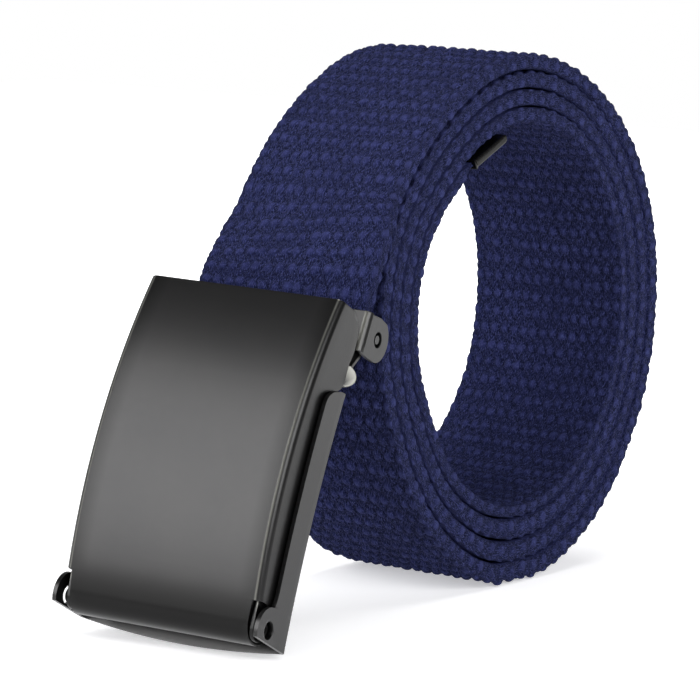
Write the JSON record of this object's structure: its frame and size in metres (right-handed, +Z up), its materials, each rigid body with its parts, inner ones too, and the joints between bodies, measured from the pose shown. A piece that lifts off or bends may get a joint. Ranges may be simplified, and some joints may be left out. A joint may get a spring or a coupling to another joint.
{
  "type": "web belt",
  "caption": "Rolled navy canvas web belt standing on its edge, with a plain black flip-top clamp buckle and a metal tip.",
  "frame": {"origin": "middle of the footprint at floor level", "axes": "+X across the webbing's width, along the coil's axis; +Y from the buckle to the coil; +Z up"},
  "size_m": [0.0496, 0.1544, 0.1074],
  "materials": {
    "webbing": "coarse canvas weave",
    "cover_steel": "satin black",
    "frame_steel": "satin black",
    "tip_steel": "gloss black"
  },
  "bodies": {
    "belt": {"strap": "webbing", "belt_tip": "tip_steel", "buckle_base": "frame_steel", "strap_clamp": "frame_steel", "clamp_pin": "frame_steel", "hinge_rivet_right": "frame_steel", "hinge_rivet_left": "frame_steel"},
    "cover": {"buckle_cover": "cover_steel"}
  },
  "joints": [
    {"name": "cover_hinge", "type": "hinge", "parent": "belt", "child": "cover", "pos_m": [0.00328, -0.06937, 0.00731], "axis": [0.9844, 0.1717, -0.0391], "range_deg": [0, 100]}
  ]
}
